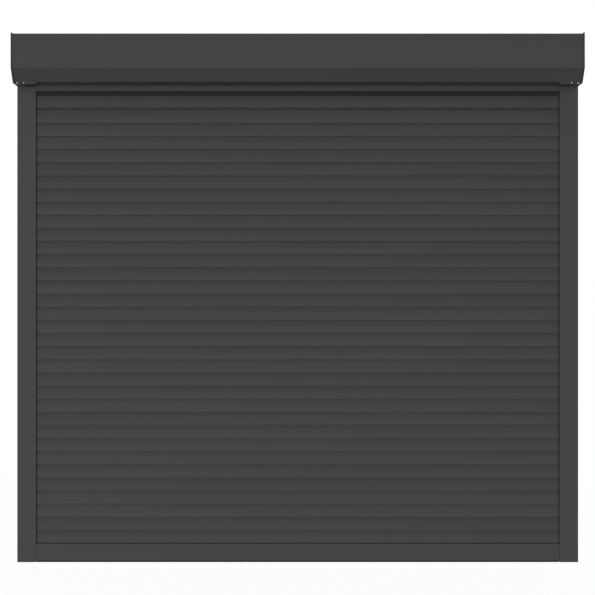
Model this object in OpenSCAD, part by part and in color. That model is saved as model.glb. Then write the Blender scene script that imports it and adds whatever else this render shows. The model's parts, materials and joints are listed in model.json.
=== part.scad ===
// Exterior roller shutter, closed, for mounting in front of a window opening.
// X runs across the window, Y towards the wall and Z up, in millimetres.
// The origin is on the wall plane, in the middle of the opening, at the foot of the guide rails.

/* [Overall] */
// Width over the outer faces of the guide rails and end caps
shutter_w = 1600; // [1200:10:2400]
// Height from the foot of the rails to the top of the end caps
shutter_h = 1494; // [1000:2:2200]

/* [Box] */
// Height of the end caps
box_h = 137; // [132:1:165]
// Depth of the end caps from the wall plane
box_d = 137; // [132:1:165]
// How far the end caps stand proud of the sheets on top, in front and below
box_rim = 3; // [1.5:0.5:5]
// Length of each leg of the 45 degree bevel under the front
bevel = 36; // [20:1:45]
// Thickness of the rear casing and the front cover
sheet_t = 1; // [0.8:0.1:1.5]
// Outer bend radius of the sheets
bend_r = 2.5; // [2:0.5:4]
// Height of the casing's flange over the top edge of the front cover
flange_h = 13; // [11:1:20]
// How far the front cover reaches up behind that flange
flange_lap = 10; // [8:1:11]
// Gap between that flange and the front cover
flange_gap = 1.2; // [0.1:0.1:1.4]
// Height of the front cover's lip over the curtain
lip_h = 16; // [10:1:22]
// Length of the hem turned back under that lip
lip_hem = 3.5; // [3:0.5:4]
// How far the rear casing hangs down behind the curtain
rear_lip_h = 21; // [10:1:26]

/* [End caps] */
// Thickness of the outer plate
cap_t = 3.5; // [2.5:0.5:5]
// Length of the ledge that carries the sheets
ledge_l = 14; // [12:1:20]
// Thickness of that ledge
ledge_t = 2; // [1.5:0.5:3]
// Length of the tongue that plugs into the rail
tongue_l = 45; // [25:1:70]
// Wall of the tongue
tongue_wall = 2.5; // [2:0.5:4]
// Height of the foot that joins the tongue to the plate
foot_h = 6; // [4:0.5:9]
// Length of the shoe under the sheets
shoe_l = 62; // [55:1:70]
// Depth of that shoe
shoe_d = 37; // [32:1:60]
// Height of that shoe
shoe_h = 4.5; // [4:0.5:6]
// Clearance of the shoe's pockets around the screw heads
shoe_gap = 1; // [0.5:0.1:1.2]
// Diameter of the pegs that carry the brackets
peg_d = 5; // [4:0.5:7]
// Distance of those pegs from the shaft axis
peg_r = 24; // [22:0.5:26]
// Diameter of the cable exit
cable_d = 10; // [7:0.5:12]
// Distance of the cable exit from the back and the top of the casing
cable_inset = 15; // [12:1:25]

/* [Guide rails] */
// Width of a rail as seen from the front
rail_w = 53; // [48:1:70]
// Depth of a rail
rail_d = 22; // [21:0.5:28]
// Wall of the rail
rail_wall = 1.5; // [1.2:0.1:2]
// Clear width of the closed chamber beside the curtain channel
chamber_w = 20.5; // [17:0.5:24]
// Height of the ribs that hold the seals
seal_rib_h = 2.2; // [1.5:0.1:2.6]
// Thickness of those ribs
seal_rib_t = 1.2; // [0.8:0.1:1.6]
// Clear width between those ribs
seal_foot_w = 6; // [4:0.5:8]
// How far the seal's wiper stands out of the rail
wiper_out = 1.5; // [0.5:0.1:2]
// Thickness of that wiper
wiper_t = 0.5; // [0.4:0.1:0.6]
// Thickness of the plug that closes the foot of the rail
plug_t = 3; // [2:0.5:6]
// How far that plug reaches into the chamber
plug_in = 12; // [6:1:25]
// Diameter of the fixing holes through the outer wall
fix_d = 6; // [4:0.5:8]
// Diameter of the access holes through the web
access_d = 12; // [9:0.5:14]
// Distance of the outermost fixing holes from the ends of the rail
fix_end = 150; // [90:5:250]
// Number of fixing holes in each rail
fix_count = 4; // [2:2:6]

/* [Slats] */
// Height that each slat adds to the curtain
slat_pitch = 37.5; // [34:0.5:45]
// Gap between two slats that rest on each other
slat_gap = 0.3; // [0.2:0.1:0.6]
// Thickness of the slat across its two walls, at its foremost point
slat_t = 8; // [7.7:0.1:8.6]
// Radius of the bowed front wall
slat_r = 110; // [95:1:160]
// Radius of the back wall
slat_back_r = 320; // [200:5:600]
// Height of the foremost point of the bow above the lower edge
slat_crest = 5; // [3:0.5:12]
// Wall of the slat
slat_wall = 0.5; // [0.4:0.05:0.7]
// Radius of the rolled lower edge
slat_hem_r = 0.6; // [0.5:0.05:0.8]
// How far two slats pull apart before the hook catches
slat_play = 6.5; // [3:0.5:8]
// Clearance between the end of a slat and the rail's web
slat_end_gap = 6.5; // [4:0.5:9]
// How far the neck stands behind the front edge of the slat's top
neck_in = 1.2; // [0.6:0.1:1.3]
// Thickness of the neck below the bead
neck_t = 0.9; // [0.7:0.05:1]
// Radius of the bead
bead_r = 1.5; // [1.3:0.05:1.6]
// Thickness of the lip that catches the bead
catch_t = 0.9; // [0.6:0.1:1.2]
// Clearance between the bead or neck and the lip that catches it
hook_gap = 0.35; // [0.25:0.05:0.45]
// Thickness of an end clip's head
clip_head_t = 1.5; // [1:0.1:2.5]
// How far an end clip reaches into the slat
clip_in = 12; // [8:1:20]

/* [Bottom bar] */
// Height of the bottom bar
bar_h = 48; // [40:1:70]
// How far the bar's front lies behind the front of the rails
bar_back = 1; // [0.5:0.1:1.6]
// Wall of the bottom bar
bar_wall = 1.3; // [1:0.1:2]
// Gap between the front of the bar and each rail
bar_gap = 0.6; // [0.4:0.1:1.5]
// Leg of the bevel along the bar's upper front edge
bar_bevel = 1.8; // [1:0.1:2.5]
// Height of the rubber seal under the bar
foot_seal_h = 5; // [3:0.5:10]
// Width of the groove that holds that seal
foot_groove_w = 5; // [4:0.5:5.5]
// Depth of that groove
foot_groove_d = 4; // [3:0.5:5]
// Width of the groove's mouth
foot_mouth_w = 2.6; // [2:0.1:3]

/* [Winding shaft] */
// Width of the octagonal shaft across its flats
shaft_af = 40; // [40:1:48]
// Wall of the shaft
shaft_wall = 0.8; // [0.6:0.1:1]
// Number of hanger straps
strap_count = 4; // [2:1:6]
// Width of a hanger strap
strap_w = 20; // [14:1:30]
// Thickness of a hanger strap
strap_t = 0.4; // [0.3:0.05:0.5]
// Distance of the outermost straps from the ends of the curtain
strap_inset = 170; // [120:5:240]
// Distance of the ends of the hanger profile from the ends of the curtain
hanger_inset = 4; // [2:1:20]
// Thickness of that profile's skirt
skirt_t = 1; // [0.8:0.1:1.4]
// How far that skirt laps over the top slat
skirt_lap = 3.3; // [0:0.1:4]

/* [Drive] */
// Diameter of the motor tube
motor_d = 35; // [32:0.5:35.5]
// Length of the motor tube
motor_l = 424; // [300:1:560]
// Diameter of the motor head
head_d = 46; // [42:1:47]
// Length of the motor head
head_l = 24; // [16:1:32]
// Side of the square stub that stops the motor from turning
stub_w = 10; // [8:0.5:14]
// Thickness of the motor bracket and the bearing holder
bracket_t = 6.5; // [5:0.5:8]
// Diameter of the motor bracket and the bearing holder
bracket_d = 62; // [58:1:68]
// Length of the crown that turns on the motor tube
crown_l = 22; // [14:1:34]
// Length of the drive wheel
wheel_l = 18; // [12:1:30]
// Diameter of the drive wheel's shaft
drive_d = 10; // [8:0.5:14]

/* [Idler end] */
// Length of the capsule plugged into the shaft
capsule_l = 78; // [50:1:120]
// Diameter of the idler pin
pin_d = 12; // [10:0.5:14]
// Outer diameter of the ball bearing
bearing_d = 28; // [26:1:32]
// Width of the ball bearing
bearing_w = 8; // [7:0.5:10]
// Radius of a ball
ball_r = 2.3; // [1.8:0.1:2.4]
// Number of balls
ball_count = 8; // [6:1:9]

/* [Fasteners] */
// Diameter of the screws and rivets
screw_d = 4; // [3:0.1:4.8]
// Diameter of their heads
head_w = 8; // [6.5:0.1:8.5]
// Height of their heads
head_h = 2.4; // [1.6:0.1:2.8]
// Length of their shanks
shank_l = 9; // [8:0.5:12]
// Distance of the outer row from the side of the box
fastener_side = 10; // [9:0.5:11]
// Distance between the two screws below each end
screw_step = 19; // [17:0.5:24]

/* [Fits] */
// Clearance of pieces that plug into or lie on each other
fit = 0.1; // [0.05:0.05:0.2]
// Radial clearance of turning pieces
run_fit = 0.06; // [0.02:0.01:0.1]
// Clearance between the curtain and the seals beside it
seal_gap = 0.35; // [0.3:0.05:0.5]

/* [Hidden] */
$fn = 96;
bow_fn = 720;
eps = 0.01;
half_w = shutter_w / 2;

// Levels
rail_h = shutter_h - box_h;
under_z = rail_h + box_rim;
top_z = shutter_h - box_rim;
lip_z = under_z - lip_h;
bar_z = foot_seal_h + bar_h;

// The box, front to back
cover_y = box_d - box_rim;
flange_y = cover_y + sheet_t + flange_gap;
ledge_in = sheet_t + fit;
axis_y = -cover_y / 2;
axis_z = (under_z + top_z) / 2;
screw_y = -(cover_y - bevel - head_w / 2 - 6);
cap_in = half_w - cap_t;
sheet_end = cap_in - fit;

// The rails, measured from the middle of the window
rail_in = half_w - rail_w;
channel_in = half_w - rail_wall - chamber_w - rail_wall;
chamber_end = half_w - rail_wall;
seal_top = 14;
horn_r = 12;
horn_t = 1.6;
horn_angle = 60;

// The curtain
curtain_y = -rail_d / 2;
slat_half = channel_in - slat_end_gap;
face_h = slat_pitch - slat_gap;
over_crest = face_h - slat_crest;
slat_front = (slat_t + slat_back_r - sqrt(pow(slat_back_r, 2) - pow(over_crest, 2))) / 2;
bow_y = slat_r - slat_front;
back_y = slat_t - slat_front + slat_back_r;
top_front = bow_y - sqrt(pow(slat_r, 2) - pow(over_crest, 2));
neck_y = top_front + neck_in + neck_t / 2;
bead_y = neck_y - neck_t;
bead_v = slat_gap + face_h + catch_t + hook_gap + slat_play + bead_r;
pocket_h = bead_v - slat_pitch + bead_r + hook_gap;
catch_y = neck_y - neck_t / 2 - hook_gap;
inlet_gap = 5;
slat_count = floor((lip_z - inlet_gap - bar_z - slat_play) / slat_pitch);
hanger_z = slat_z(1) + slat_pitch + slat_play;
hanger_h = pocket_h + 5;
skirt_h = slat_play + skirt_lap;
hanger_half = slat_half - hanger_inset;

// The bottom bar, front to back
bar_front = -rail_d + bar_back;
tongue_front = curtain_y - slat_front;
tongue_back = curtain_y + slat_front;
skin_back = tongue_front - seal_gap - wiper_t - seal_gap;
bar_half = rail_in - bar_gap;
bar_web = rail_in - wiper_out - 2 * seal_gap;

// The shaft line, left to right
head_x = -cap_in + bracket_t + 2 * fit;
crown_x = head_x + head_l + fit;
crown_flange = 2;
shaft_x0 = crown_x + crown_flange + fit;
motor_end = crown_x + motor_l;
drive_in = 12;
bearing_x = cap_in - bracket_t - bearing_w;
capsule_flange = 2;
capsule_x1 = bearing_x - 4;
shaft_x1 = capsule_x1 - capsule_flange - fit;
inner_af = shaft_af - 2 * shaft_wall;
ball_path = (pin_d + bearing_d) / 4;
race_gap = 1.4;
holder_wall = 3;

// The hanger straps
wrap = shaft_af / 2 + strap_t + 0.3;
wrap_corner = wrap * tan(22.5);
slot_y = -4.5;
slot_w = 5;
strap_tail = 3.5;
strap_dip = inner_af / 2 - 1.6;
strap_bend = 1.2;
strap_step = (2 * slat_half - 2 * strap_inset) / (strap_count - 1);

// Names and places

function slat_name(i) = str("slat_", i < 10 ? "0" : "", i);

// Lower edge of slat i, counted from the top. The top slat hangs on the straps, pulled out by its play.
function slat_z(i) = bar_z + slat_gap + (slat_count - i) * slat_pitch + (i == 1 ? slat_play : 0);

function strap_x(i) = -slat_half + strap_inset + i * strap_step;

function fix_z(i) = fix_end + i * (rail_h - 2 * fix_end) / (fix_count - 1);

// Plane curves

function unit(v) = v / norm(v);

function left_of(v) = [-v[1], v[0]];

function reverse(list) = [for (i = [len(list) - 1:-1:0]) list[i]];

// Arc of radius r that rounds the corner p between a and b, in n steps
function corner(a, p, b, r, n) =
    let (
        u = unit(a - p),
        w = unit(b - p),
        half = acos(u * w) / 2,
        c = p + unit(u + w) * r / sin(half),
        s = p + u * r / tan(half) - c,
        e = p + w * r / tan(half) - c,
        a0 = atan2(s[1], s[0]),
        turn = atan2(s[0] * e[1] - s[1] * e[0], s * e)
    )
    [for (i = [0:n]) c + r * [cos(a0 + turn * i / n), sin(a0 + turn * i / n)]];

// The open line through pts with each inner corner rounded
function rounded(pts, r, n = 6) = concat(
    [pts[0]],
    [for (i = [1:len(pts) - 2]) each corner(pts[i - 1], pts[i], pts[i + 1], r, n)],
    [pts[len(pts) - 1]]
);

// The closed outline through pts with every corner rounded
function rounded_loop(pts, r, n = 6) = [
    for (i = [0:len(pts) - 1])
        each corner(pts[(i + len(pts) - 1) % len(pts)], pts[i], pts[(i + 1) % len(pts)], r, n)
];

// The line moved to its left by d
function shifted(line, d) = [
    for (i = [0:len(line) - 1])
        let (
            b = i < len(line) - 1 ? unit(line[i + 1] - line[i]) : unit(line[i] - line[i - 1]),
            a = i > 0 ? unit(line[i] - line[i - 1]) : b,
            m = left_of(unit(a + b))
        )
        line[i] + m * d / (m * left_of(b))
];

function bezier(a, b, c, d, n) = [
    for (i = [0:n])
        let (t = i / n, s = 1 - t)
        a * s * s * s + b * 3 * s * s * t + c * 3 * s * t * t + d * t * t * t
];

// Side outline of the box, moved in by d from the outer face of the sheets and flush at the back
function outline(d) = [
    [-max(d, 0), top_z - d],
    [-cover_y + d, top_z - d],
    [-cover_y + d, under_z + bevel + d * (sqrt(2) - 1)],
    [-cover_y + bevel + d * (sqrt(2) - 1), under_z + d],
    [-max(d, 0), under_z + d]
];

// Helpers

// A profile drawn in Y and Z, run along X from x0 to x1
module along_x(x0, x1) {
    translate([x0, 0, 0])
        rotate([90, 0, 90])
            linear_extrude(x1 - x0)
                children();
}

// A round bar or bore along X on the line through y and z
module rod(x0, x1, d, y, z) {
    translate([x0, y, z])
        rotate([0, 90, 0])
            cylinder(d = d, h = x1 - x0);
}

// A sheet of thickness t to the left of a line
module sheet(line, t) {
    polygon(concat(line, reverse(shifted(line, t))));
}

module octagon(af) {
    rotate(22.5)
        circle(r = af / 2 / cos(22.5), $fn = 8);
}

// Profile pieces on the shaft axis
module at_axis() {
    translate([axis_y, axis_z])
        children();
}

module both_sides() {
    children();
    mirror([1, 0, 0])
        children();
}

// Slats

// Curved band of the slat, a behind its front and b before its back, from height v0 to v1
module band(a, b, v0, v1) {
    intersection() {
        difference() {
            translate([bow_y, slat_crest])
                circle(r = slat_r - a, $fn = bow_fn);
            translate([back_y, slat_crest])
                circle(r = slat_back_r + b, $fn = bow_fn);
        }
        translate([-2 * slat_front, v0])
            square([4 * slat_front, v1 - v0]);
    }
}

// Neck and bead that stand up from a top edge at height v
module hook(v) {
    translate([neck_y - neck_t / 2, v - slat_wall])
        square([neck_t, bead_v - face_h + slat_wall]);
    translate([bead_y, v + bead_v - face_h])
        circle(r = bead_r);
}

// Open pocket at the foot of a slat, with the lip that catches the bead of the next one below
module pocket() {
    difference() {
        band(0, 0, 0, pocket_h + slat_wall);
        band(slat_wall, slat_wall, -1, pocket_h);
    }
    intersection() {
        band(0, 0, 0, catch_t);
        translate([catch_y - slat_t, 0])
            square([slat_t, catch_t]);
    }
    translate([bow_y - sqrt(pow(slat_r, 2) - pow(slat_crest, 2)) + slat_hem_r, slat_hem_r])
        circle(r = slat_hem_r);
}

module slat_profile() {
    pocket();
    difference() {
        band(0, 0, pocket_h, face_h);
        band(slat_wall, slat_wall, pocket_h + slat_wall, face_h - slat_wall);
    }
    hook(face_h);
}

module slat(i) {
    color([0.27, 0.28, 0.29])
        translate([0, curtain_y, slat_z(i)])
            along_x(-slat_half, slat_half)
                slat_profile();
}

// Plastic clips that plug into both ends of every second slat and of the bottom bar
module curtain_end_clips() {
    color([0.08, 0.08, 0.08])
        both_sides() {
            for (i = [2:2:slat_count])
                translate([0, curtain_y, slat_z(i)]) {
                    along_x(slat_half - clip_in, slat_half + eps)
                        band(slat_wall + fit, slat_wall + fit, pocket_h + slat_wall + fit,
                             face_h - slat_wall - fit);
                    along_x(slat_half, slat_half + clip_head_t)
                        band(fit, fit, pocket_h, face_h - fit);
                }
            along_x(slat_half - clip_in, slat_half + eps)
                bar_chamber(fit);
            along_x(slat_half, slat_half + clip_head_t)
                bar_tongue(fit);
        }
}

// Bottom bar

// Part of the bar that runs in the channels, moved in by d
module bar_tongue(d) {
    translate([tongue_front + d, foot_seal_h + d])
        square([tongue_back - tongue_front - 2 * d, bar_h - 2 * d]);
}

// Upper hollow of that part, moved in by d
module bar_chamber(d) {
    low = foot_seal_h + foot_groove_d + 2 * bar_wall;
    translate([tongue_front + bar_wall + d, low + d])
        square([tongue_back - tongue_front - 2 * (bar_wall + d), bar_z - bar_wall - low - 2 * d]);
}

// Front of the bar, bevelled on top, back to depth y and moved in by d
module bar_skin(y, d) {
    leg = min(bar_bevel - d * (2 - sqrt(2)), y - bar_front - 2 * d - fit);
    polygon([
        [bar_front + d, foot_seal_h + d],
        [y - d, foot_seal_h + d],
        [y - d, bar_z - d],
        [bar_front + d + leg, bar_z - d],
        [bar_front + d, bar_z - d - leg]
    ]);
}

// Groove for the rubber seal, with its narrow mouth
module foot_groove(d) {
    y = (tongue_front + tongue_back) / 2;
    translate([y - foot_groove_w / 2 + d, foot_seal_h + bar_wall + d])
        square([foot_groove_w - 2 * d, foot_groove_d - 2 * d]);
    translate([y - foot_mouth_w / 2 + d, foot_seal_h - d - eps])
        square([foot_mouth_w - 2 * d, bar_wall + 2 * (d + eps)]);
}

module bottom_bar() {
    color([0.27, 0.28, 0.29]) {
        along_x(-bar_half, bar_half)
            difference() {
                bar_skin(skin_back, 0);
                bar_skin(skin_back, bar_wall);
            }
        along_x(-bar_web, bar_web)
            for (z = [foot_seal_h, bar_z - bar_wall])
                translate([skin_back - eps, z])
                    square([tongue_front - skin_back + 2 * eps, bar_wall]);
        along_x(-slat_half, slat_half) {
            difference() {
                bar_tongue(0);
                bar_chamber(0);
                foot_groove(0);
            }
            translate([curtain_y, bar_z])
                hook(0);
        }
    }
}

// Rubber foot with its two lips, held by a flat head in the groove
module bottom_seal() {
    front = bar_front + fit;
    back = tongue_back - fit;
    lip_w = foot_mouth_w / 2;
    hollow_h = foot_seal_h / 2;
    color([0.05, 0.05, 0.05])
        along_x(-bar_web, bar_web) {
            foot_groove(fit);
            difference() {
                translate([front, 0])
                    square([back - front, foot_seal_h - fit]);
                polygon([
                    [front + lip_w, -eps],
                    [back - lip_w, -eps],
                    [back - 2 * lip_w, hollow_h],
                    [front + 2 * lip_w, hollow_h]
                ]);
            }
        }
}

// Hangers

// Spring steel strap, from inside the shaft round its back and down to the hanger profile
function strap_line() =
    let (
        down = [-axis_y + curtain_y + neck_y, hanger_z + hanger_h - axis_z],
        from = [wrap, -wrap_corner / 2],
        drop = (from[1] - down[1]) / 2,
        on_shaft = [
            [slot_y - strap_tail, strap_dip],
            [slot_y - slot_w / 4, strap_dip],
            [slot_y + slot_w / 4, wrap],
            [wrap_corner, wrap],
            [wrap, wrap_corner],
            from
        ]
    )
    concat(
        rounded(on_shaft, strap_bend, 4),
        [for (i = [1:16]) bezier(from, from - [0, drop], down + [0, drop], down, 16)[i]],
        [down - [0, hanger_h - pocket_h - 1]]
    );

module hanger_straps() {
    color([0.2, 0.21, 0.23])
        for (i = [0:strap_count - 1])
            along_x(strap_x(i) - strap_w / 2, strap_x(i) + strap_w / 2)
                at_axis()
                    sheet(shifted(strap_line(), -strap_t / 2), strap_t);
}

// Profile that hooks on the bead of the top slat, holds the straps and covers the open joint with its skirt
module hanger_profile() {
    slot_t = strap_t + 2 * fit;
    color([0.08, 0.08, 0.08])
        translate([0, curtain_y, hanger_z])
            difference() {
                along_x(-hanger_half, hanger_half) {
                    pocket();
                    band(0, 0, pocket_h, hanger_h);
                    difference() {
                        band(0, 0, -skirt_h, pocket_h);
                        band(skirt_t, -slat_t, -skirt_h - 1, pocket_h);
                    }
                }
                for (i = [0:strap_count - 1])
                    translate([strap_x(i) - strap_w / 2 - fit, neck_y - slot_t / 2, pocket_h + slat_wall])
                        cube([strap_w + 2 * fit, slot_t, hanger_h]);
            }
}

// Guide rails, drawn for the right-hand side

module seal_ribs() {
    for (x = [rail_in, rail_in + seal_rib_t + seal_foot_w])
        translate([x, rail_wall - eps])
            square([seal_rib_t, seal_rib_h + eps]);
}

module rail_profile() {
    difference() {
        translate([rail_in, 0])
            square([rail_w, rail_d]);
        translate([rail_in - eps, rail_wall])
            square([channel_in - rail_in + eps, rail_d - 2 * rail_wall]);
        translate([channel_in + rail_wall, rail_wall])
            square([chamber_w, rail_d - 2 * rail_wall]);
    }
    seal_ribs();
    translate([0, rail_d])
        mirror([0, 1])
            seal_ribs();
}

module guide_rail() {
    color([0.27, 0.28, 0.29])
        difference() {
            translate([0, -rail_d, plug_t])
                linear_extrude(rail_h - plug_t)
                    rail_profile();
            for (i = [0:fix_count - 1]) {
                rod(chamber_end - eps, half_w + eps, fix_d, curtain_y, fix_z(i));
                rod(channel_in - eps, channel_in + rail_wall + eps, access_d, curtain_y, fix_z(i));
            }
        }
}

module guide_rail_left() {
    mirror([1, 0, 0])
        guide_rail();
}

module guide_rail_right() {
    guide_rail();
}

// Rubber strip between two ribs, with a wiper that lies just clear of the curtain
module rail_seal() {
    reach = rail_d / 2 - slat_front - seal_gap;
    foot_x = rail_in + seal_rib_t;
    translate([foot_x + fit, rail_wall + fit])
        square([seal_foot_w - 2 * fit, seal_rib_h - fit]);
    translate([rail_in - wiper_out, reach - wiper_t])
        square([wiper_out + seal_rib_t + seal_foot_w / 2, wiper_t]);
    translate([foot_x + seal_foot_w / 4, rail_wall + seal_rib_h - eps])
        square([seal_foot_w / 4, reach - rail_wall - seal_rib_h]);
    translate([rail_in - wiper_out, reach - wiper_t / 2])
        circle(d = wiper_t);
}

module rail_seals() {
    color([0.05, 0.05, 0.05])
        both_sides()
            for (side = [0, 1])
                translate([0, -rail_d, plug_t])
                    linear_extrude(rail_h - plug_t - seal_top)
                        translate([0, side * rail_d])
                            mirror([0, side])
                                rail_seal();
}

// Plastic plugs under the rails, which stand on the sill
module rail_end_plugs() {
    inset = rail_wall + fit;
    color([0.06, 0.06, 0.06])
        both_sides() {
            translate([rail_in, -rail_d, 0])
                cube([rail_w, rail_d, plug_t]);
            difference() {
                translate([channel_in + inset, -rail_d + inset, 0])
                    cube([chamber_w - 2 * fit, rail_d - 2 * inset, plug_t + plug_in]);
                translate([channel_in + inset + rail_wall, -rail_d + inset + rail_wall, plug_t])
                    cube([chamber_w - 2 * fit - 2 * rail_wall, rail_d - 2 * (inset + rail_wall), plug_in + 1]);
            }
        }
}

// Flared plastic mouths that lead the curtain into the rails
module horn(side) {
    clear = slat_front + seal_gap;
    translate([side * clear, rail_h - seal_top + 1])
        mirror([side < 0 ? 1 : 0, 0])
            square([horn_t, under_z + sheet_t - rail_h + seal_top]);
}

module inlet_funnels() {
    clear = slat_front + seal_gap;
    mouth_z = under_z + sheet_t + 0.5;
    color([0.1, 0.1, 0.1])
        both_sides()
            translate([0, curtain_y, 0]) {
                along_x(rail_in + seal_rib_t, channel_in - fit) {
                    horn(-1);
                    horn(1);
                    intersection() {
                        translate([-clear - horn_r, mouth_z])
                            difference() {
                                circle(r = horn_r);
                                circle(r = horn_r - horn_t);
                            }
                        translate([-clear - horn_r, mouth_z - eps])
                            polygon([
                                [0, 0],
                                [2 * horn_r, 0],
                                [2 * horn_r, 2 * horn_r * tan(horn_angle)],
                            ]);
                    }
                }
                translate([channel_in - fit - horn_t, -clear - horn_t, rail_h - seal_top + 1])
                    cube([horn_t, 2 * (clear + horn_t), under_z + sheet_t - rail_h + seal_top]);
            }
}

// Box

// Cast end cap on the right-hand side, without what differs between the sides
module end_cap() {
    difference() {
        union() {
            along_x(cap_in, half_w)
                polygon(outline(-box_rim));
            along_x(cap_in - ledge_l, cap_in + eps)
                difference() {
                    polygon(rounded_loop(outline(ledge_in), bend_r));
                    polygon(rounded_loop(outline(ledge_in + ledge_t), bend_r));
                }
            translate([half_w - fastener_side - screw_step - head_w, screw_y - head_w, under_z + ledge_in])
                cube([screw_step + head_w + fastener_side - cap_t + eps, 2 * head_w, 2 * ledge_t]);
            tongue();
            shoe();
            for (side = [-1, 1])
                rod(cap_in - bracket_t, cap_in + eps, peg_d, axis_y + side * peg_r, axis_z);
        }
        fastener_holes();
    }
}

// Hollow tongue that plugs into the rail's chamber, and the foot that carries it
module tongue() {
    inset = rail_wall + fit;
    x0 = channel_in + inset;
    w = chamber_w - 2 * fit;
    d = rail_d - 2 * inset;
    difference() {
        translate([x0, -rail_d + inset, rail_h - tongue_l])
            cube([w, d, tongue_l + foot_h]);
        translate([x0 + tongue_wall, -rail_d + inset + tongue_wall, rail_h - tongue_l - 1])
            cube([w - 2 * tongue_wall, d - 2 * tongue_wall, tongue_l + 1]);
    }
    translate([x0, -rail_d + inset, rail_h])
        cube([cap_in - x0 + eps, d, foot_h]);
}

// Shoe below the sheets, with a pocket open to the front for each screw head
module shoe() {
    y0 = -cover_y + bevel;
    pocket_w = head_w + 2 * shoe_gap;
    difference() {
        translate([cap_in - shoe_l, y0, under_z - shoe_h])
            cube([shoe_l + eps, shoe_d, shoe_h - fit]);
        for (i = [0, 1])
            translate([half_w - fastener_side - i * screw_step - pocket_w / 2, y0 - 1, under_z - shoe_h - 1])
                cube([pocket_w, screw_y - y0 + pocket_w / 2 + 1, shoe_h + 2]);
    }
}

module end_cap_left() {
    color([0.28, 0.29, 0.3])
        mirror([1, 0, 0])
            difference() {
                end_cap();
                rod(cap_in - 1, half_w + 1, cable_d, -cable_inset, top_z - cable_inset);
            }
}

module end_cap_right() {
    color([0.28, 0.29, 0.3])
        end_cap();
}

// Sheet that closes the box behind, on top and along the upper edge of the front
module rear_casing() {
    line = rounded([
        [0, under_z - rear_lip_h],
        [0, top_z],
        [-flange_y, top_z],
        [-flange_y, top_z - flange_h]
    ], bend_r);
    color([0.27, 0.28, 0.29])
        difference() {
            along_x(-sheet_end, sheet_end)
                sheet(line, sheet_t);
            both_sides() {
                translate([rail_in - bar_gap, -sheet_t - 1, 0])
                    cube([rail_w + 1, sheet_t + 2, rail_h + fit]);
                fastener_holes();
            }
        }
}

// Sheet that closes the front, the bevel and the underside, and hangs down over the curtain
module front_cover() {
    line = rounded([
        [-cover_y, top_z - flange_h + flange_lap],
        [-cover_y, under_z + bevel],
        [-cover_y + bevel, under_z],
        [-rail_d, under_z],
        [-rail_d, lip_z],
        [-rail_d + lip_hem, lip_z]
    ], bend_r);
    color([0.27, 0.28, 0.29])
        difference() {
            along_x(-sheet_end, sheet_end)
                sheet(line, sheet_t);
            both_sides() {
                translate([rail_in - bar_gap, -rail_d - 1, 0])
                    cube([rail_w + 1, rail_d, under_z - fit]);
                fastener_holes();
            }
        }
}

// Fasteners, placed on the right-hand side

module place_screws() {
    for (i = [0, 1])
        translate([half_w - fastener_side - i * screw_step, screw_y, under_z])
            rotate([180, 0, 0])
                children();
}

module place_rivets() {
    for (share = [0.25, 0.75])
        translate([half_w - fastener_side, -share * cover_y, top_z])
            children();
    translate([half_w - fastener_side, -flange_y, top_z - flange_h / 2])
        rotate([90, 0, 0])
            children();
}

module fastener_holes() {
    place_screws()
        translate([0, 0, -shank_l - 1])
            cylinder(d = screw_d + 2 * fit, h = shank_l + 2);
    place_rivets()
        translate([0, 0, -shank_l - 1])
            cylinder(d = screw_d + 2 * fit, h = shank_l + 2);
}

// Shank and low domed head, with the head's seat at height 0
module fastener(dome) {
    cap_r = (pow(head_w / 2, 2) + pow(dome, 2)) / (2 * dome);
    translate([0, 0, -shank_l])
        cylinder(d = screw_d, h = shank_l + eps);
    intersection() {
        translate([0, 0, dome - cap_r])
            sphere(r = cap_r);
        cylinder(d = head_w, h = dome);
    }
}

module cover_screws() {
    slot_w = screw_d / 4;
    color([0.75, 0.76, 0.78])
        both_sides()
            place_screws()
                difference() {
                    fastener(head_h);
                    for (a = [0, 90])
                        rotate(a)
                            translate([-screw_d / 2, -slot_w / 2, head_h / 2])
                                cube([screw_d, slot_w, head_h]);
                }
}

module casing_rivets() {
    color([0.25, 0.26, 0.27])
        both_sides()
            place_rivets()
                fastener(head_h / 2);
}

// Shaft and drive

module winding_shaft() {
    color([0.72, 0.73, 0.75])
        difference() {
            along_x(shaft_x0, shaft_x1)
                at_axis()
                    difference() {
                        octagon(shaft_af);
                        octagon(inner_af);
                    }
            for (i = [0:strap_count - 1])
                translate([strap_x(i) - strap_w / 2 - 1, axis_y + slot_y - slot_w / 2, axis_z + inner_af / 2 - 1])
                    cube([strap_w + 2, slot_w, shaft_wall + 2]);
        }
}

// Closed motor tube with its head, and the square stub that the bracket holds
module tubular_motor() {
    color([0.82, 0.83, 0.84])
        difference() {
            union() {
                rod(head_x, head_x + head_l, head_d, axis_y, axis_z);
                rod(head_x + head_l - eps, motor_end, motor_d, axis_y, axis_z);
                along_x(-cap_in + fit, head_x + eps)
                    at_axis()
                        square(stub_w, center = true);
            }
            rod(motor_end - drive_in, motor_end + 1, drive_d + 2 * run_fit, axis_y, axis_z);
        }
}

// Round plate on two pegs of the end cap, with children cut out of it
module bracket() {
    along_x(cap_in - bracket_t, cap_in - fit)
        difference() {
            at_axis()
                circle(d = bracket_d);
            for (side = [-1, 1])
                translate([axis_y + side * peg_r, axis_z])
                    circle(d = peg_d + 2 * fit);
            at_axis()
                children();
        }
}

module motor_bracket() {
    color([0.15, 0.15, 0.16])
        mirror([1, 0, 0])
            bracket()
                square(stub_w + 2 * fit, center = true);
}

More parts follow.
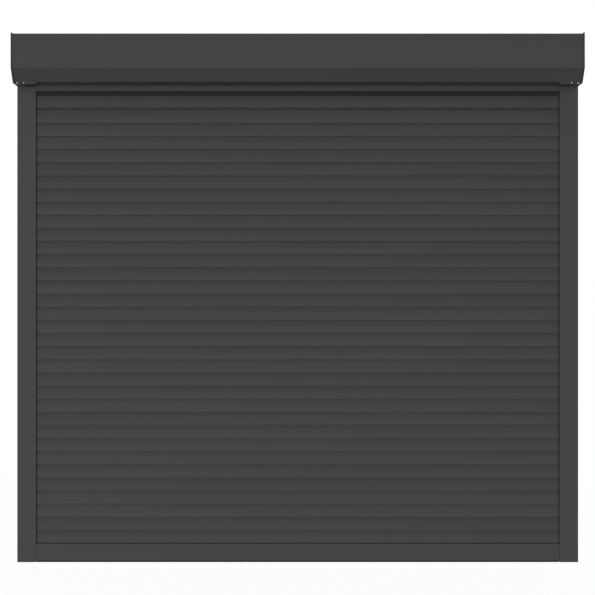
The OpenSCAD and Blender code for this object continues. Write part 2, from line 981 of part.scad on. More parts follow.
// Octagonal ring that turns on the motor tube and carries that end of the shaft
module motor_crown() {
    color([0.12, 0.12, 0.13])
        difference() {
            union() {
                along_x(crown_x, crown_x + crown_flange)
                    at_axis()
                        octagon(shaft_af);
                along_x(crown_x, crown_x + crown_l)
                    at_axis()
                        octagon(inner_af - 2 * fit);
            }
            rod(crown_x - 1, crown_x + crown_l + 1, motor_d + 2 * run_fit, axis_y, axis_z);
        }
}

// Octagonal wheel on the motor's output shaft, which turns the winding shaft
module drive_wheel() {
    color([0.12, 0.12, 0.13]) {
        along_x(motor_end + 1, motor_end + 1 + wheel_l)
            at_axis()
                difference() {
                    octagon(inner_af - 2 * fit);
                    for (a = [0:90:270])
                        rotate(a + 45)
                            translate([inner_af / 4 + drive_d / 8, 0])
                                circle(d = inner_af / 5);
                }
        rod(motor_end - drive_in + fit, motor_end + 1 + eps, drive_d, axis_y, axis_z);
    }
}

// Octagonal plug in the other end of the shaft, with a flange
module idler_capsule() {
    color([0.12, 0.12, 0.13])
        difference() {
            union() {
                along_x(capsule_x1 - capsule_l, capsule_x1)
                    at_axis()
                        octagon(inner_af - 2 * fit);
                along_x(capsule_x1 - capsule_flange, capsule_x1)
                    at_axis()
                        octagon(shaft_af);
            }
            rod(capsule_x1 - capsule_l - 1, capsule_x1 + 1, pin_d + 2 * run_fit, axis_y, axis_z);
        }
}

module idler_pin() {
    color([0.78, 0.79, 0.8])
        rod(capsule_x1 - capsule_l, bearing_x + bearing_w + 1, pin_d, axis_y, axis_z);
}

// Half section of a bearing ring between two radii, with the groove for the balls
module ring_section(r0, r1) {
    difference() {
        translate([r0, -bearing_w / 2])
            square([r1 - r0, bearing_w]);
        translate([ball_path, 0])
            circle(r = ball_r + run_fit);
    }
}

module in_bearing() {
    translate([bearing_x + bearing_w / 2, axis_y, axis_z])
        rotate([0, 90, 0])
            children();
}

module bearing_outer_ring() {
    color([0.8, 0.81, 0.82])
        in_bearing()
            rotate_extrude()
                ring_section(ball_path + race_gap, bearing_d / 2);
}

// Inner ring on the idler pin, with the balls that run round it
module bearing_inner_race() {
    color([0.8, 0.81, 0.82])
        in_bearing() {
            rotate_extrude()
                ring_section(pin_d / 2 + run_fit, ball_path - race_gap);
            for (i = [0:ball_count - 1])
                rotate(i * 360 / ball_count)
                    translate([ball_path, 0, 0])
                        sphere(r = ball_r);
        }
}

// Plate on the end cap with the hub that holds the bearing
module bearing_holder() {
    color([0.15, 0.15, 0.16]) {
        bracket()
            circle(d = pin_d + 4);
        along_x(bearing_x, cap_in - bracket_t + eps)
            at_axis()
                difference() {
                    circle(d = bearing_d + 2 * holder_wall);
                    circle(d = bearing_d + 2 * run_fit);
                }
    }
}

// Assembly

for (i = [1:slat_count])
    slat(i);
bottom_bar();
bottom_seal();
curtain_end_clips();
hanger_straps();
hanger_profile();
guide_rail_left();
guide_rail_right();
rail_seals();
rail_end_plugs();
inlet_funnels();
end_cap_left();
end_cap_right();
rear_casing();
front_cover();
winding_shaft();
tubular_motor();
motor_bracket();
motor_crown();
drive_wheel();
idler_capsule();
idler_pin();
bearing_outer_ring();
bearing_inner_race();
bearing_holder();
cover_screws();
casing_rivets();
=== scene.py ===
"""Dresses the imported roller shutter: a finish for every piece, the cable grommet and the stage."""

import json
import math

import bpy
import numpy as np
from bpy.props import FloatProperty, FloatVectorProperty, PointerProperty
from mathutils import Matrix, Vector


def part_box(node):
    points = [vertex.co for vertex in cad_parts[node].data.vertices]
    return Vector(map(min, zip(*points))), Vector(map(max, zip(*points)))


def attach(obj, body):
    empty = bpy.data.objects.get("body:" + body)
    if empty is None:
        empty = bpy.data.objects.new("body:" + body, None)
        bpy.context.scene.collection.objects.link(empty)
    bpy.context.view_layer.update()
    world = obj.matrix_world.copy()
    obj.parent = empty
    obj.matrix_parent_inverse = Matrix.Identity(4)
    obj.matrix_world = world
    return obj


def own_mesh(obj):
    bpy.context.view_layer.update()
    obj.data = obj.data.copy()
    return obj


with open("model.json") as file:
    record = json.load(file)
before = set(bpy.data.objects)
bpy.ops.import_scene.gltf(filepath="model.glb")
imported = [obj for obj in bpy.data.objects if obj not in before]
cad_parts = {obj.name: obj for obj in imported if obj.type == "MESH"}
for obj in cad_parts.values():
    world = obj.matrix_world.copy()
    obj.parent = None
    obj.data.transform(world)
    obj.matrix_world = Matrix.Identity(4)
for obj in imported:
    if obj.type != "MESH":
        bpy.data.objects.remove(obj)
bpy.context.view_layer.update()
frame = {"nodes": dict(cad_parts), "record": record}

bl_info = {
    "name": "Roller Shutter Finish",
    "version": (1, 0, 0),
    "blender": (4, 5, 0),
    "location": "View3D > Sidebar > Shutter",
    "description": "Finishes and stage for an exterior roller shutter",
    "category": "Object",
}

SLATS = sorted(name for name in frame["nodes"] if name.startswith("slat_"))
BAR_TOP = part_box(SLATS[-1])[0].z
WHITE = (1.0, 1.0, 1.0, 1.0)

# Half the floor's side and its place below the rails' feet, in metres
FLOOR_HALF = 30.0
FLOOR_DROP = 0.0005
# Share of white that the floor shows near the shutter, and from where and over what length it grows
WHITE_NEAR = 0.97
WHITE_FROM = 1.0
WHITE_OVER = 4.0


# Shader building


class Field:
    """A socket on its way through a node tree, with the arithmetic of numbers."""

    def __init__(self, nodes, socket):
        self.nodes = nodes
        self.socket = socket

    def _math(self, operation, first, second):
        return self.nodes.add("ShaderNodeMath", {"operation": operation}, {0: first, 1: second})

    def __add__(self, other):
        return self._math("ADD", self, other)

    def __sub__(self, other):
        return self._math("SUBTRACT", self, other)

    def __mul__(self, other):
        return self._math("MULTIPLY", self, other)

    def __truediv__(self, other):
        return self._math("DIVIDE", self, other)

    def __radd__(self, other):
        return self._math("ADD", other, self)

    def __rsub__(self, other):
        return self._math("SUBTRACT", other, self)

    def __rmul__(self, other):
        return self._math("MULTIPLY", other, self)

    def __rtruediv__(self, other):
        return self._math("DIVIDE", other, self)


class Nodes:
    """A node tree and the one way to add to it."""

    def __init__(self, tree):
        self.tree = tree

    def add(self, kind, settings=None, sockets=None, out=0):
        """Adds a node, sets its settings, then its sockets' values or links; gives one output."""
        node = self.tree.nodes.new(kind)
        for key, value in (settings or {}).items():
            if key == "stops":
                ramp = node.color_ramp.elements
                while len(ramp) < len(value):
                    ramp.new(1.0)
                for element, (position, level) in zip(ramp, value):
                    element.position = position
                    element.color = (level, level, level, 1.0)
            else:
                setattr(node, key, value)
        for key, value in (sockets or {}).items():
            self.join(node.inputs[key], value)
        return Field(self, node.outputs[out])

    def join(self, socket, value):
        """Links a field to a socket, or sets the socket's value."""
        if isinstance(value, Field):
            self.tree.links.new(value.socket, socket)
        else:
            socket.default_value = value

    def shown(self):
        """1 for rays that show the background: from the camera, off gloss and through glass."""
        camera = self.add("ShaderNodeLightPath", out="Is Camera Ray")
        gloss = self.add("ShaderNodeLightPath", out="Is Glossy Ray")
        glass = self.add("ShaderNodeLightPath", out="Is Transmission Ray")
        rays = camera + gloss + glass
        return self.add("ShaderNodeMath", {"operation": "MINIMUM"}, {0: rays, 1: 1.0})


class Finish(Nodes):
    """A material with one surface shader, built from its nodes."""

    def __init__(self, name):
        self.material = bpy.data.materials.new(name)
        self.material.use_nodes = True
        super().__init__(self.material.node_tree)
        self.shader = self.tree.nodes["Principled BSDF"]
        self.place = self.add("ShaderNodeTexCoord", out="Object")

    def noise(self, per_metre, detail=2.0, stretch=(1.0, 1.0, 1.0), rough=0.5):
        """Smooth noise from 0 to 1 with this many lumps to the metre, stretched along the axes."""
        place = self.add("ShaderNodeMapping", None, {"Vector": self.place, "Scale": stretch})
        sockets = {"Vector": place, "Scale": per_metre, "Detail": detail, "Roughness": rough}
        return self.add("ShaderNodeTexNoise", None, sockets)

    def ramp(self, value, stops):
        """Value drawn through a line of (position, level) stops."""
        return self.add("ShaderNodeValToRGB", {"stops": stops}, {"Fac": value})

    def spread(self, value, low, high):
        """Value spread so that low becomes 0 and high becomes 1."""
        return self.ramp(value, [(low, 0.0), (high, 1.0)])

    def blend(self, share, first, second):
        """Colour between two colours, by share."""
        settings = {"data_type": "RGBA", "blend_type": "MIX"}
        return self.add("ShaderNodeMix", settings, {0: share, 6: first, 7: second}, out=2)

    def tones(self, share, colour, darker, lighter):
        """Colour between a darker and a lighter tone of one colour, by share."""
        return self.blend(share, shade(colour, -darker), shade(colour, lighter))

    def relief(self, height, depth):
        """Normal of a surface whose height, from 0 to 1, is this many metres deep."""
        sockets = {"Height": height, "Distance": depth, "Strength": 1.0}
        return self.add("ShaderNodeBump", None, sockets)

    def surface(self, **sockets):
        """Sets the shader's sockets, named in lower case with underscores; gives the material."""
        for name, value in sockets.items():
            title = name.replace("_", " ").title().replace("Ior", "IOR")
            self.join(self.shader.inputs[title], value)
        return self.material


def shade(colour, share):
    """A colour made lighter or darker by a share of itself, with full alpha."""
    return tuple(min(1.0, channel * (1.0 + share)) for channel in colour[:3]) + (1.0,)


# Finishes


def powder_coat(name, colour, looks, grain):
    """Powder coat: a slow drift of tone, millimetre grit and the lumpy skin that it melts into."""
    coat = Finish(name)
    drift = coat.noise(per_metre=2.6)
    grit = coat.spread(coat.noise(per_metre=1100.0 / grain, detail=3.0), low=0.36, high=0.64)
    skin = coat.noise(per_metre=420.0 / grain)
    share = drift * 0.3 + grit * 0.55 + skin * 0.15
    return coat.surface(
        base_color=coat.tones(share, colour, darker=looks.tone, lighter=looks.tone),
        roughness=looks.coat_rough - 0.09 + 0.08 * drift + 0.1 * grit,
        normal=coat.relief(skin * 0.45 + grit * 0.55, depth=looks.peel * grain),
        specular_ior_level=looks.gloss,
    )


def slat_lacquer(name, colour, looks, pitch, foot):
    """Roll coat: faint lines along the strip, a touch of tone to each slat, and painted shade on the
    necks recessed in the joints.
    """
    coat = Finish(name)
    height = coat.add("ShaderNodeSeparateXYZ", None, {0: coat.place}, out="Z")
    depth = coat.add("ShaderNodeSeparateXYZ", None, {0: coat.place}, out="Y")
    # A band along Y, at the necks recessed behind the slats' fronts, marks where shade is painted
    behind = (depth - looks.neck_front) / looks.neck_depth
    neck_shade_mask = coat.ramp(behind, [(0.0, 0.0), (0.25, 1.0), (0.85, 1.0), (1.0, 0.0)])
    number = coat.add("ShaderNodeMath", {"operation": "FLOOR"}, {0: (height - foot) / pitch})
    batch = coat.add("ShaderNodeTexWhiteNoise", {"noise_dimensions": "1D"}, {"W": number})
    drift = coat.noise(per_metre=2.2)
    lines = coat.noise(per_metre=1300.0, stretch=(0.004, 1.0, 1.0))
    lines = coat.spread(lines, low=0.3, high=0.7)
    speck = coat.spread(coat.noise(per_metre=2300.0), low=0.34, high=0.66)
    share = drift * 0.12 + batch * 0.12 + lines * 0.36 + speck * 0.4
    unshaded_tone = coat.tones(share, colour, darker=looks.tone, lighter=looks.tone)
    return coat.surface(
        # Painted shade: the necks in the joints are darkened by a share of the colour, broken a
        # little by the speck, and made rougher
        base_color=coat.blend(neck_shade_mask * (0.85 + 0.15 * speck), unshaded_tone, shade(colour, -looks.neck_shade)),
        roughness=looks.coat_rough - 0.05 + 0.05 * drift + 0.05 * lines + 0.2 * neck_shade_mask,
        normal=coat.relief(lines * 0.6 + speck * 0.4, depth=looks.peel * 0.4),
        specular_ior_level=looks.gloss,
    )


def rubber(name, colour):
    """Extruded rubber: matt, dusty in patches, with fine pores."""
    skin = Finish(name)
    bloom = skin.spread(skin.noise(per_metre=24.0, detail=3.0), low=0.42, high=0.78)
    pores = skin.noise(per_metre=1600.0)
    return skin.surface(
        base_color=skin.tones(bloom * 0.35 + pores * 0.3, colour, darker=0.25, lighter=0.7),
        roughness=0.62 + 0.2 * bloom,
        normal=skin.relief(pores, depth=0.00004),
        specular_ior_level=0.12,
    )


def moulded_plastic(name, colour, gloss=0.12):
    """Moulded plastic with a spark-eroded grain, a little polished where the grain stands up."""
    skin = Finish(name)
    grain = skin.noise(per_metre=1250.0, rough=0.65)
    flow = skin.noise(per_metre=9.0, stretch=(1.0, 1.0, 0.3))
    return skin.surface(
        base_color=skin.tones(grain * 0.5 + flow * 0.5, colour, darker=0.2, lighter=0.35),
        roughness=0.58 - 0.16 * grain,
        normal=skin.relief(grain, depth=0.00005),
        specular_ior_level=gloss,
    )


def galvanised(name, colour):
    """Zinc-dipped strip: crystals a few millimetres across, each with its own tone and gloss."""
    steel = Finish(name)
    cells = {"Vector": steel.place, "Scale": 130.0, "Randomness": 1.0}
    crystal = steel.add("ShaderNodeTexVoronoi", {"feature": "F1"}, cells, out="Color")
    level = steel.add("ShaderNodeSeparateColor", None, {0: crystal})
    rolled = steel.noise(per_metre=700.0, stretch=(0.01, 1.0, 1.0))
    return steel.surface(
        base_color=steel.tones(level * 0.7 + rolled * 0.3, colour, darker=0.16, lighter=0.12),
        metallic=1.0,
        roughness=0.34 + 0.16 * level,
        normal=steel.relief(rolled, depth=0.000008),
    )


def plated_steel(name, colour, rough):
    """Plated steel: a thin haze over the fine marks of the tool."""
    steel = Finish(name)
    haze = steel.noise(per_metre=60.0, detail=3.0)
    turned = steel.noise(per_metre=2600.0, detail=1.0)
    return steel.surface(
        base_color=steel.tones(haze * 0.6 + turned * 0.4, colour, darker=0.14, lighter=0.1),
        metallic=1.0,
        roughness=rough - 0.06 + 0.14 * haze,
        normal=steel.relief(turned, depth=0.000006),
    )


def blued_spring(name, colour):
    """Tempered spring steel: a dark oxide skin that shifts from brown to blue along the strip."""
    steel = Finish(name)
    temper = steel.spread(steel.noise(per_metre=35.0), low=0.35, high=0.65)
    rolled = steel.noise(per_metre=900.0, stretch=(1.0, 0.03, 0.03))
    red, green, blue = colour
    brown = (red * 1.35, green, blue * 0.75)
    share = temper * 0.8 + rolled * 0.2
    return steel.surface(
        base_color=steel.blend(share, shade(brown, 0.0), shade(colour, 0.15)),
        metallic=0.85,
        roughness=0.4 + 0.14 * rolled,
        normal=steel.relief(rolled, depth=0.000008),
    )


def dress(names, material):
    """Gives CAD nodes their finish."""
    for name in names:
        mesh = frame["nodes"][name].data
        mesh.materials.clear()
        mesh.materials.append(material)


def add_object(scene, name, data):
    """A new object in the scene, at the origin."""
    made = bpy.data.objects.new(name, data)
    scene.collection.objects.link(made)
    return made


# Surfaces


def softened(corners, cut):
    """A closed line with each corner cut by a length, then each side cut at its quarters, twice."""
    step = np.roll(corners, -1, axis=0) - corners
    side = step / np.linalg.norm(step, axis=1, keepdims=True)
    before, after = corners - np.roll(side, 1, axis=0) * cut, corners + side * cut
    line = np.stack((before, after), axis=1).reshape(-1, 2)
    for _ in range(2):
        ahead = np.roll(line, -1, axis=0)
        near, far = 0.75 * line + 0.25 * ahead, 0.25 * line + 0.75 * ahead
        line = np.stack((near, far), axis=1).reshape(-1, 2)
    return line


def turned_surface(name, profile, middle, around=72):
    """A closed profile of (along, radius) turned about X.

    At turn t, x is along, y is radius times cos t and z is radius times sin t, from the middle.
    """
    turn = np.linspace(0.0, 2.0 * math.pi, around, endpoint=False)
    along, radius = profile[:, :1], profile[:, 1:]
    grid = np.stack((along + 0.0 * turn, radius * np.cos(turn), radius * np.sin(turn)), axis=-1)
    points = grid.reshape(-1, 3) + np.array(middle)
    row, column = np.indices((len(profile), around))
    next_row, next_column = (row + 1) % len(profile), (column + 1) % around
    corners = (
        row * around + column,
        row * around + next_column,
        next_row * around + next_column,
        next_row * around + column,
    )
    faces = np.stack(corners, axis=-1).reshape(-1, 4)
    mesh = bpy.data.meshes.new(name)
    mesh.from_pydata(points.tolist(), [], faces.tolist())
    mesh.polygons.foreach_set("use_smooth", np.ones(len(faces), dtype=bool))
    return mesh


# Settings


def colour_property(name, description, default):
    return FloatVectorProperty(
        name=name, description=description, default=default,
        subtype="COLOR", size=3, min=0.0, max=1.0,
    )


def place_property(name, description, default):
    return FloatVectorProperty(
        name=name, description=description, default=default,
        subtype="TRANSLATION", unit="LENGTH", size=3,
    )


def length_property(name, description, default):
    return FloatProperty(
        name=name, description=description, default=default, precision=6, unit="LENGTH"
    )


def angle_property(name, description, degrees):
    return FloatProperty(
        name=name, description=description, default=math.radians(degrees), subtype="ANGLE"
    )


def share_property(name, description, default):
    return FloatProperty(
        name=name, description=description, default=default, min=0.0, max=1.0, subtype="FACTOR"
    )


def strength_property(name, description, default):
    return FloatProperty(name=name, description=description, default=default, min=0.0)


class ShutterLooks(bpy.types.PropertyGroup):
    """Colours and coats of the shutter."""

    frame_colour: colour_property("Frame", "Coat of rails, box and bar", (0.038, 0.038, 0.038))
    slat_colour: colour_property("Slats", "Lacquer of the slats", (0.038, 0.038, 0.038))
    cap_colour: colour_property("End caps", "Coat of the cast end caps", (0.036, 0.036, 0.036))
    rubber_colour: colour_property("Rubber", "Seals and grommet", (0.012, 0.012, 0.012))
    plastic_colour: colour_property("Plastic", "Clips, plugs and wheels", (0.012, 0.012, 0.0125))
    # Nearly black, darker than the other plastic: partly the hanger's own black, partly painted
    # shade for the gap under the box's lip
    hanger_colour_and_gap_shade: colour_property("Hanger", "Profile over the top slat", (0.005, 0.005, 0.005))
    zinc_colour: colour_property("Zinc", "Zinc skin of the winding shaft", (0.56, 0.57, 0.59))
    spring_colour: colour_property("Springs", "Oxide skin of the straps", (0.03, 0.033, 0.042))
    motor_colour: colour_property("Motor", "Tube of the motor", (0.55, 0.56, 0.57))
    bright_colour: colour_property("Bright steel", "Screws, pin and bearing", (0.68, 0.68, 0.67))
    bracket_colour: colour_property("Brackets", "Zinc skin of the brackets", (0.6, 0.6, 0.61))
    coat_rough: share_property("Roughness", "Roughness of the coats", 0.5)
    gloss: share_property("Gloss", "Specular level of the coats", 0.08)
    tone: share_property("Tone", "Share by which a coat's tone varies", 0.25)
    peel: length_property("Skin", "Depth of the coats' lumpy skin", 0.00006)
    # The next three settings paint shade onto the slats' necks recessed in the joints: its share,
    # then where its band along Y begins and how deep it is
    neck_shade: share_property("Rub", "Share by which the slats' necks are darker", 0.3)
    neck_front: length_property("Neck front", "Where the rubbed necks begin, along Y", -0.0106)
    neck_depth: length_property("Neck depth", "Depth of the rubbed necks", 0.002)


class ShutterGrommet(bpy.types.PropertyGroup):
    """Sizes of the rubber grommet in the cable exit."""

    slack: length_property("Slack", "Play between the collar and its hole", 0.00005)
    flange: length_property("Flange", "Reach of the flange past the hole", 0.002)
    wall: length_property("Wall", "Reach of the flange behind the end cap", 0.0015)
    edge: length_property("Edge", "Length cut off each corner", 0.0002)
    throat: share_property("Throat", "Radius of the narrowest part, as a share of the hole's", 0.5)
    mouth: share_property("Mouth", "Radius at the outer end, as a share of the hole's", 0.75)
    rim: share_property("Rim", "Radius at the inner end, as a share of the hole's", 0.8)


class ShutterStage(bpy.types.PropertyGroup):
    """Camera, lamps and floor."""

    camera: place_property("Camera", "Place of the camera", (-0.0006, -4.909, 0.755))
    view_angle: angle_property("View", "Angle that the picture takes in", 19.705)
    key: strength_property("Front light", "Strength of the wide front light", 2.46)
    key_tilt: angle_property("Front tilt", "Angle of the front light from below", 10.0)
    back: strength_property("Back light", "Strength of the wide light behind", 2.5)
    back_tilt: angle_property("Back tilt", "Angle of the back light from below", -25.0)
    ends: strength_property("End lights", "Strength of the wide lights at both ends", 0.6)
    ends_tilt: angle_property("End tilt", "Angle of the end lights from below", -10.0)
    width: angle_property("Width", "Angle that each wide light spans", 56.0)
    side: FloatProperty(
        name="Side light", description="Power of the panel at the left", default=15.0, unit="POWER"
    )
    side_size: length_property("Panel", "Side of the panel at the left", 1.6)
    side_place: place_property("Panel place", "Middle of the panel", (-2.4, -2.2, 0.75))
    side_aim: place_property("Panel aim", "Point that the panel faces", (-0.5, 0.0, 0.75))
    sky: strength_property("Room light", "Strength of the light from all around", 0.25)
    floor_colour: colour_property("Floor", "Colour of the pale floor", (0.86, 0.86, 0.86))


# Pieces


class SHUTTER_OT_curtain(bpy.types.Operator):
    """Lacquers the slats and coats the bottom bar, with their rubber and plastic"""

    bl_idname = "shutter.curtain"
    bl_label = "Curtain"

    def execute(self, context):
        looks = context.scene.shutter_looks
        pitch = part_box(SLATS[-2])[0].z - BAR_TOP
        dress(SLATS, slat_lacquer("slat_lacquer", looks.slat_colour, looks, pitch, BAR_TOP))
        dress(["bottom_bar"], powder_coat("bar_coat", looks.frame_colour, looks, grain=1.0))
        dress(["bottom_seal"], rubber("foot_rubber", looks.rubber_colour))
        dress(["curtain_end_clips"], moulded_plastic("clip_plastic", looks.plastic_colour))
        # The hanger's near-black, low-gloss plastic is also painted shade for the gap between the
        # box's lip and the top slat
        hanger = moulded_plastic("hanger_plastic_gap_shade", looks.hanger_colour_and_gap_shade, gloss=0.07)
        dress(["hanger_profile"], hanger)
        for name in SLATS + ["curtain_end_clips", "hanger_profile"]:
            node = frame["nodes"][name]
            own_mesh(node)
        return {"FINISHED"}


class SHUTTER_OT_rails(bpy.types.Operator):
    """Coats the guide rails and finishes their seals, plugs and inlets"""

    bl_idname = "shutter.rails"
    bl_label = "Guide rails"

    def execute(self, context):
        looks = context.scene.shutter_looks
        rails = ["guide_rail_left", "guide_rail_right"]
        dress(rails, powder_coat("rail_coat", looks.frame_colour, looks, grain=1.0))
        dress(["rail_seals"], rubber("rail_rubber", looks.rubber_colour))
        plastic = moulded_plastic("rail_plastic", looks.plastic_colour)
        dress(["rail_end_plugs", "inlet_funnels"], plastic)
        return {"FINISHED"}


class SHUTTER_OT_box(bpy.types.Operator):
    """Coats the box's sheets, end caps and rivets, and plates its screws"""

    bl_idname = "shutter.box"
    bl_label = "Box"

    def execute(self, context):
        looks = context.scene.shutter_looks
        sheets = ["rear_casing", "front_cover", "casing_rivets"]
        dress(sheets, powder_coat("sheet_coat", looks.frame_colour, looks, grain=1.0))
        caps = ["end_cap_left", "end_cap_right"]
        dress(caps, powder_coat("cast_coat", looks.cap_colour, looks, grain=1.6))
        dress(["cover_screws"], plated_steel("screw_zinc", looks.bright_colour, rough=0.32))
        return {"FINISHED"}


class SHUTTER_OT_grommet(bpy.types.Operator):
    """Sets a rubber grommet flush into the cable exit of the left end cap"""

    bl_idname = "shutter.grommet"
    bl_label = "Cable grommet"

    def execute(self, context):
        mounts = frame["record"]["mounts"]
        exit_hole = next(mount for mount in mounts if mount["name"] == "cable_exit")
        hole = exit_hole["dims"]["r_mm"] / 1000.0
        half = exit_hole["dims"]["length_mm"] / 2000.0
        profile = self.profile(context.scene.shutter_grommet, hole, half)
        mesh = turned_surface("cable_grommet", profile, exit_hole["pos_m"])
        grommet = add_object(context.scene, "cable_grommet", mesh)
        mesh.materials.append(rubber("grommet_rubber", context.scene.shutter_looks.rubber_colour))
        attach(grommet, "frame")
        return {"FINISHED"}

    def profile(self, sizes, hole, half):
        """Loop of (along, radius): a collar in the hole, a flange behind it, a narrowing bore."""
        outer, inner, back = -half + sizes.slack, half + sizes.slack, half + sizes.wall
        collar, throat, land = hole - sizes.slack, hole * sizes.throat, half * 0.2
        corners = [
            (outer, collar),
            (inner, collar),
            (inner, hole + sizes.flange),
            (back, hole + sizes.flange * 0.8),
            (back, hole * sizes.rim),
            (land, throat),
            (-land, throat),
            (outer, hole * sizes.mouth),
        ]
        return softened(np.array(corners), sizes.edge)


class SHUTTER_OT_shaft(bpy.types.Operator):
    """Finishes the winding shaft, its straps, wheels and idler end"""

    bl_idname = "shutter.shaft"
    bl_label = "Winding shaft"

    def execute(self, context):
        looks = context.scene.shutter_looks
        dress(["winding_shaft"], galvanised("shaft_zinc", looks.zinc_colour))
        dress(["hanger_straps"], blued_spring("strap_steel", looks.spring_colour))
        wheels = ["motor_crown", "drive_wheel", "idler_capsule"]
        dress(wheels, moulded_plastic("wheel_plastic", looks.plastic_colour))
        bright = ["idler_pin", "bearing_outer_ring", "bearing_inner_race"]
        dress(bright, plated_steel("bearing_steel", looks.bright_colour, rough=0.24))
        straps = frame["nodes"]["hanger_straps"]
        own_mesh(straps)
        return {"FINISHED"}


class SHUTTER_OT_drive(bpy.types.Operator):
    """Finishes the tube motor and the brackets at both ends"""

    bl_idname = "shutter.drive"
    bl_label = "Drive"

    def execute(self, context):
        looks = context.scene.shutter_looks
        dress(["tubular_motor"], plated_steel("motor_tube", looks.motor_colour, rough=0.42))
        brackets = ["motor_bracket", "bearing_holder"]
        dress(brackets, plated_steel("bracket_zinc", looks.bracket_colour, rough=0.4))
        return {"FINISHED"}


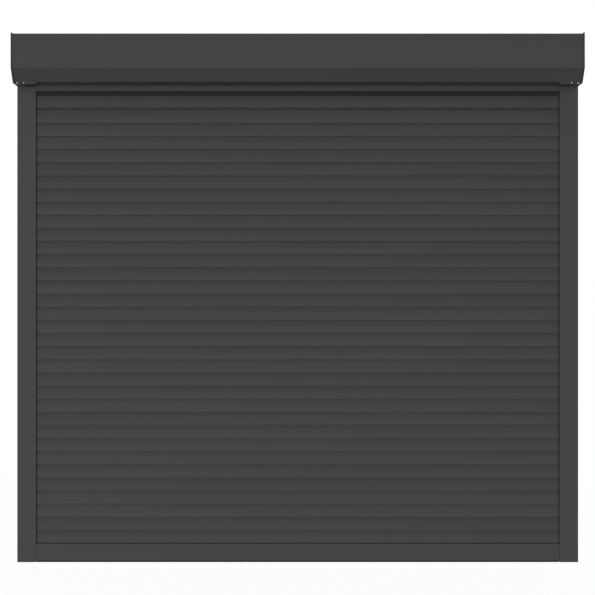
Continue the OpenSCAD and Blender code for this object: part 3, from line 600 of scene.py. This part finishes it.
class SHUTTER_OT_stage(bpy.types.Operator):
    """Sets the pale floor, the white room, the wide soft lights and the camera"""

    bl_idname = "shutter.stage"
    bl_label = "Stage"

    def execute(self, context):
        scene, stage = context.scene, context.scene.shutter_stage
        self.make_floor(scene, stage)
        self.make_room(scene, stage)
        quarter = math.pi / 2
        self.make_wide_light(scene, "front_light", stage.key, stage.key_tilt, 0.0)
        self.make_wide_light(scene, "back_light", stage.back, stage.back_tilt, math.pi)
        self.make_wide_light(scene, "left_light", stage.ends, stage.ends_tilt, -quarter)
        self.make_wide_light(scene, "right_light", stage.ends, stage.ends_tilt, quarter)
        self.make_side_light(scene, stage)
        self.make_camera(scene, stage)
        scene.view_settings.view_transform = "Standard"
        return {"FINISHED"}

    def make_floor(self, scene, stage):
        """A square sheet just below the rails' feet, x and y from -FLOOR_HALF to FLOOR_HALF."""
        near, far, low = -FLOOR_HALF, FLOOR_HALF, -FLOOR_DROP
        corners = [(near, near, low), (far, near, low), (far, far, low), (near, far, low)]
        mesh = bpy.data.meshes.new("floor")
        mesh.from_pydata(corners, [], [(0, 1, 2, 3)])
        mesh.materials.append(self.floor_paint(stage.floor_colour))
        floor = add_object(scene, "floor", mesh)
        # Light from below passes the sheet, and none bounces off it
        floor.visible_shadow = False
        floor.visible_diffuse = False

    def floor_paint(self, colour):
        """Pale paint that takes the shadow, nearly white where it is seen and clear from below."""
        paint = Finish("floor_paint")
        mottle = paint.noise(per_metre=1.5)
        tones = paint.tones(mottle, colour, darker=0.01, lighter=0.01)
        paint.surface(base_color=tones, roughness=0.9, specular_ior_level=0.1)
        body = Field(paint, paint.shader.outputs[0])
        glow = paint.add("ShaderNodeEmission", None, {"Color": WHITE, "Strength": 1.0})
        length = {"operation": "LENGTH"}
        away = paint.add("ShaderNodeVectorMath", length, {0: paint.place}, out="Value")
        fade = paint.ramp((away - WHITE_FROM) / WHITE_OVER, [(0.0, WHITE_NEAR), (1.0, 1.0)])
        share = paint.shown() * fade
        above = paint.add("ShaderNodeMixShader", None, {0: share, 1: body, 2: glow})
        below = paint.add("ShaderNodeNewGeometry", out="Backfacing")
        clear = paint.add("ShaderNodeBsdfTransparent")
        both = paint.add("ShaderNodeMixShader", None, {0: below, 1: above, 2: clear})
        paint.join(paint.tree.nodes["Material Output"].inputs["Surface"], both)
        return paint.material

    def make_room(self, scene, stage):
        """White where it is seen, and soft light of the room's strength elsewhere."""
        world = bpy.data.worlds.new("white_room")
        world.use_nodes = True
        scene.world = world
        room = Nodes(world.node_tree)
        background = room.tree.nodes["Background"]
        background.inputs["Color"].default_value = WHITE
        strength = room.shown() * (1.0 - stage.sky) + stage.sky
        room.join(background.inputs["Strength"], strength)

    def make_wide_light(self, scene, name, strength, tilt, turn):
        """Even light from a wide disc far away, tilted from below and turned about the vertical."""
        lamp = bpy.data.lights.new(name, "SUN")
        lamp.energy = strength
        lamp.angle = scene.shutter_stage.width
        # Sampled from the lamp alone, so that the floor doesn't hold light from below back
        lamp.cycles.use_multiple_importance_sampling = False
        add_object(scene, name, lamp).rotation_euler = (math.pi / 2 + tilt, 0.0, turn)

    def make_side_light(self, scene, stage):
        """A soft panel that faces the left half of the curtain."""
        lamp = bpy.data.lights.new("side_light", "AREA")
        lamp.size = stage.side_size
        lamp.energy = stage.side
        panel = add_object(scene, "side_light", lamp)
        panel.location = stage.side_place
        aim = Vector(stage.side_aim) - Vector(stage.side_place)
        panel.rotation_euler = aim.to_track_quat("-Z", "Y").to_euler()
        panel.visible_camera = False

    def make_camera(self, scene, stage):
        """A level camera that looks along Y."""
        lens = bpy.data.cameras.new("camera")
        lens.angle = stage.view_angle
        lens.clip_end = 100.0
        camera = add_object(scene, "camera", lens)
        camera.location = stage.camera
        camera.rotation_euler = (math.pi / 2, 0.0, 0.0)
        scene.camera = camera


class SHUTTER_PT_sidebar(bpy.types.Panel):
    """Buttons and settings of the shutter"""

    bl_label = "Roller Shutter"
    bl_idname = "SHUTTER_PT_sidebar"
    bl_space_type = "VIEW_3D"
    bl_region_type = "UI"
    bl_category = "Shutter"

    def draw(self, context):
        scene = context.scene
        for operator in OPERATORS:
            self.layout.operator(operator.bl_idname)
        for settings in (scene.shutter_looks, scene.shutter_grommet, scene.shutter_stage):
            box = self.layout.box()
            for key in settings.__annotations__:
                box.prop(settings, key)


OPERATORS = [
    SHUTTER_OT_stage,
    SHUTTER_OT_curtain,
    SHUTTER_OT_rails,
    SHUTTER_OT_box,
    SHUTTER_OT_grommet,
    SHUTTER_OT_shaft,
    SHUTTER_OT_drive,
]
CLASSES = [ShutterLooks, ShutterGrommet, ShutterStage] + OPERATORS + [SHUTTER_PT_sidebar]


def register():
    for cls in CLASSES:
        bpy.utils.register_class(cls)
    bpy.types.Scene.shutter_looks = PointerProperty(type=ShutterLooks)
    bpy.types.Scene.shutter_grommet = PointerProperty(type=ShutterGrommet)
    bpy.types.Scene.shutter_stage = PointerProperty(type=ShutterStage)


def unregister():
    del bpy.types.Scene.shutter_stage
    del bpy.types.Scene.shutter_grommet
    del bpy.types.Scene.shutter_looks
    for cls in reversed(CLASSES):
        bpy.utils.unregister_class(cls)


def main():
    register()
    bpy.ops.shutter.stage()
    bpy.ops.shutter.curtain()
    bpy.ops.shutter.rails()
    bpy.ops.shutter.box()
    bpy.ops.shutter.grommet()
    bpy.ops.shutter.shaft()
    bpy.ops.shutter.drive()


if __name__ == "__main__":
    main()
